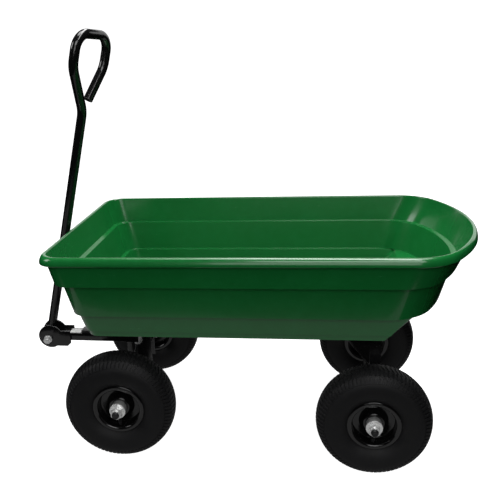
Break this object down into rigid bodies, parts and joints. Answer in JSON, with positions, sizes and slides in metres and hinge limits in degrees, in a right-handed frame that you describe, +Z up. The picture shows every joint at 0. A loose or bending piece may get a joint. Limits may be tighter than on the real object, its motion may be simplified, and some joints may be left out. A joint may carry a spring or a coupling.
{
  "type": "garden cart",
  "caption": "Four-wheeled garden dump cart: stepped green poly tub that tips over its rear hinge, turntable steering, drawbar and folding D-grip pull handle.",
  "frame": {"origin": "under the middle of the cart's bounding box, on the ground its tyres stand on", "axes": "+X to the rear, where the tub's nose is; +Y to the cart's right-hand side as it is pulled by its handle; +Z up"},
  "size_m": [1.0685, 0.5368, 0.9565],
  "materials": {
    "frame_paint": "black powder coat, satin gloss with fine orange peel and worn edges",
    "axle_steel": "black-coated steel, dull at its threaded ends",
    "zinc_washers": "zinc-plated, satin, with dust in its corners",
    "zinc_nuts": "zinc-plated, satin, with tool marks",
    "hinge_rod_steel": "zinc-plated rod, satin",
    "hinge_cap_zinc": "zinc-plated push-on cap",
    "kingpin_steel": "zinc-plated bolt, greased",
    "kingpin_nut_zinc": "zinc-plated flange nut",
    "latch_bracket_paint": "black powder coat",
    "latch_bolt_zinc": "zinc-plated, rubbed bright by sliding",
    "pull_ring_zinc": "zinc-plated wire",
    "carrier_paint": "black powder coat, satin gloss",
    "turntable_nylon": "black nylon, greased",
    "drawbar_paint": "black powder coat, glossy",
    "drawbar_bolt_zinc": "zinc-plated",
    "drawbar_nut_zinc": "zinc-plated",
    "coupling_paint": "black powder coat, glossy",
    "pivot_bolt_zinc": "zinc-plated",
    "pivot_nut_zinc": "zinc-plated, bright",
    "spacer_nylon": "black nylon",
    "handle_paint": "black powder coat, glossy, scuffed at the grip",
    "plug_plastic": "black polyethylene",
    "tub_poly": "glossy green polyethylene with fine scratches and brighter worn rims",
    "hinge_bracket_paint": "black powder coat",
    "tub_bolt_zinc": "zinc-plated",
    "tub_nut_zinc": "zinc-plated",
    "latch_tongue_paint": "black powder coat",
    "tyre_rubber": "matte black rubber, dusty between its lugs",
    "inner_tube_rubber": "black butyl rubber",
    "rim_paint": "black powder coat, glossy",
    "hub_zinc": "zinc-plated hub tube",
    "bearing_steel": "ground steel with a black seal"
  },
  "bodies": {
    "frame": {"left_rail": "frame_paint", "right_rail": "frame_paint", "front_cross_member": "frame_paint", "rear_axle_support": "frame_paint", "rear_axle": "axle_steel", "rear_axle_washers": "zinc_washers", "rear_axle_nuts": "zinc_nuts", "hinge_rod": "hinge_rod_steel", "hinge_rod_caps": "hinge_cap_zinc", "kingpin": "kingpin_steel", "kingpin_nut": "kingpin_nut_zinc", "latch_bracket": "latch_bracket_paint"},
    "latch": {"latch_bolt": "latch_bolt_zinc", "latch_pull_ring": "pull_ring_zinc"},
    "steering": {"front_axle_carrier": "carrier_paint", "front_axle": "axle_steel", "front_axle_washers": "zinc_washers", "front_axle_nuts": "zinc_nuts", "turntable_washer": "turntable_nylon", "drawbar": "drawbar_paint", "drawbar_bolt": "drawbar_bolt_zinc", "drawbar_nut": "drawbar_nut_zinc", "coupling_left_plate": "coupling_paint", "coupling_right_plate": "coupling_paint", "handle_pivot_bolt": "pivot_bolt_zinc", "handle_pivot_nut": "pivot_nut_zinc", "handle_spacers": "spacer_nylon"},
    "handle": {"handle_tube": "handle_paint", "handle_end_plug": "plug_plastic"},
    "tub_body": {"tub": "tub_poly", "tub_hinge_brackets": "hinge_bracket_paint", "tub_bolts": "tub_bolt_zinc", "tub_nuts": "tub_nut_zinc", "latch_tongue": "latch_tongue_paint"},
    "front_left_wheel": {"front_left_tyre": "tyre_rubber", "front_left_inner_tube": "inner_tube_rubber", "front_left_rim_outer_half": "rim_paint", "front_left_rim_inner_half": "rim_paint", "front_left_hub": "hub_zinc", "front_left_bearings": "bearing_steel"},
    "front_right_wheel": {"front_right_tyre": "tyre_rubber", "front_right_inner_tube": "inner_tube_rubber", "front_right_rim_outer_half": "rim_paint", "front_right_rim_inner_half": "rim_paint", "front_right_hub": "hub_zinc", "front_right_bearings": "bearing_steel"},
    "rear_left_wheel": {"rear_left_tyre": "tyre_rubber", "rear_left_inner_tube": "inner_tube_rubber", "rear_left_rim_outer_half": "rim_paint", "rear_left_rim_inner_half": "rim_paint", "rear_left_hub": "hub_zinc", "rear_left_bearings": "bearing_steel"},
    "rear_right_wheel": {"rear_right_tyre": "tyre_rubber", "rear_right_inner_tube": "inner_tube_rubber", "rear_right_rim_outer_half": "rim_paint", "rear_right_rim_inner_half": "rim_paint", "rear_right_hub": "hub_zinc", "rear_right_bearings": "bearing_steel"}
  },
  "joints": [
    {"name": "front_steer", "type": "hinge", "parent": "frame", "child": "steering", "pos_m": [-0.27701, 0, 0.258], "axis": [0, 0, 1], "range_deg": [-21.2, 14.7]},
    {"name": "handle_pivot", "type": "hinge", "parent": "steering", "child": "handle", "pos_m": [-0.50913, -0.01318, 0.196], "axis": [0.0567, -0.9984, 0], "range_deg": [0, 110]},
    {"name": "tub_tip", "type": "hinge", "parent": "frame", "child": "tub_body", "pos_m": [0.31851, 0, 0.31316], "axis": [0, 1, 0], "range_deg": [0, 60]},
    {"name": "latch_slide", "type": "slide", "parent": "frame", "child": "latch", "axis": [0, 1, 0], "range_m": [0, 0.016]},
    {"name": "front_left_spin", "type": "hinge", "parent": "steering", "child": "front_left_wheel", "pos_m": [-0.26527, -0.20667, 0.129], "axis": [-0.0567, 0.9984, 0], "continuous": true},
    {"name": "front_right_spin", "type": "hinge", "parent": "steering", "child": "front_right_wheel", "pos_m": [-0.28874, 0.20667, 0.129], "axis": [-0.0567, 0.9984, 0], "continuous": true},
    {"name": "rear_left_spin", "type": "hinge", "parent": "frame", "child": "rear_left_wheel", "pos_m": [0.31699, -0.207, 0.129], "axis": [0, 1, 0], "continuous": true},
    {"name": "rear_right_spin", "type": "hinge", "parent": "frame", "child": "rear_right_wheel", "pos_m": [0.31699, 0.207, 0.129], "axis": [0, 1, 0], "continuous": true}
  ]
}
